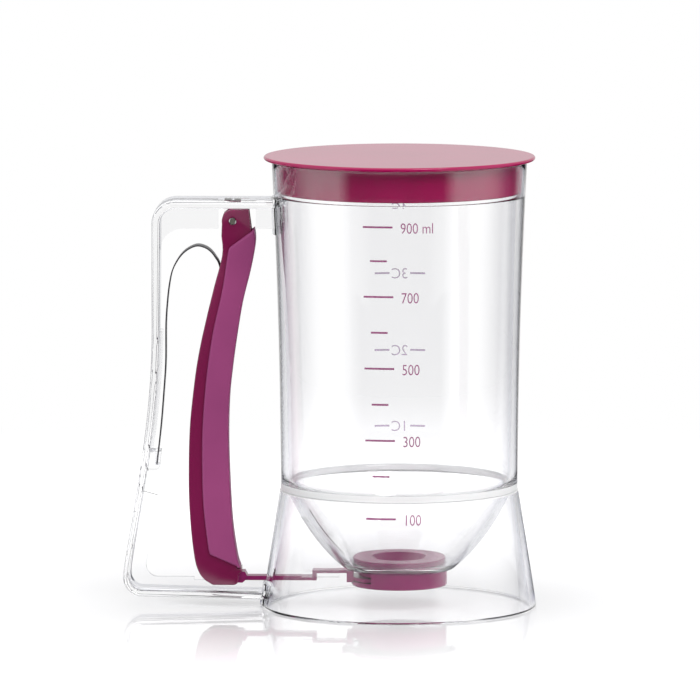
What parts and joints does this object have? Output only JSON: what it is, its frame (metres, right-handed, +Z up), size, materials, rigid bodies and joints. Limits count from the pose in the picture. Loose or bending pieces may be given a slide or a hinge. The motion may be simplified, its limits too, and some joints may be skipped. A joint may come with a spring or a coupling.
{
  "type": "pancake batter dispenser",
  "caption": "Clear measuring cup on a conical base, with a lift-off lid; a squeeze lever in the loop handle draws back a gate to let batter out of the funnel floor",
  "frame": {"origin": "middle of the bounding box, on the surface the skirt stands on", "axes": "+Z up through the cup, the handle towards -X, the cup's two sides at +Y and -Y"},
  "size_m": [0.172, 0.1142, 0.1882],
  "materials": {
    "clear_cup": "clear, polished",
    "clear_base": "clear, polished",
    "clear_handle": "clear, polished",
    "lid_plastic": "satin to glossy magenta",
    "lever_plastic": "glossy magenta",
    "valve_plastic": "glossy magenta",
    "grip_soft": "soft, matt, violet magenta",
    "pin_steel": "plain steel",
    "spring_steel": "spring steel",
    "seal_silicone": "matt silicone"
  },
  "bodies": {
    "cup_body": {"cup": "clear_cup", "funnel_bowl": "clear_cup", "base_skirt": "clear_base", "handle_frame": "clear_handle", "pivot_pin": "pin_steel", "leaf_spring": "spring_steel", "valve_seat": "valve_plastic", "valve_housing": "valve_plastic", "seat_gasket": "seal_silicone", "outlet_seal": "seal_silicone"},
    "lever": {"trigger_lever": "lever_plastic", "lever_grip": "grip_soft"},
    "gate": {"pull_rod": "valve_plastic", "gate_slide": "valve_plastic"},
    "lid": {"lid_cap": "lid_plastic"}
  },
  "joints": [
    {"name": "lever_squeeze", "type": "hinge", "parent": "cup_body", "child": "lever", "pos_m": [-0.04027, 0, 0.1612], "axis": [0, 1, 0], "range_deg": [0, 6.5], "stiffness_Nm_per_rad": 3, "springref_deg": -3.72, "deforming": ["leaf_spring"]},
    {"name": "gate_pull", "type": "slide", "parent": "cup_body", "child": "gate", "axis": [-1, 0, 0], "range_m": [0, 0.0172]},
    {"name": "lid_lift", "type": "slide", "parent": "cup_body", "child": "lid", "axis": [0, 0, 1], "range_m": [0, 0.04]}
  ],
  "couplings": [
    {"joint": "gate_pull", "follows": "lever_squeeze", "m_per_rad": 0.1492}
  ]
}
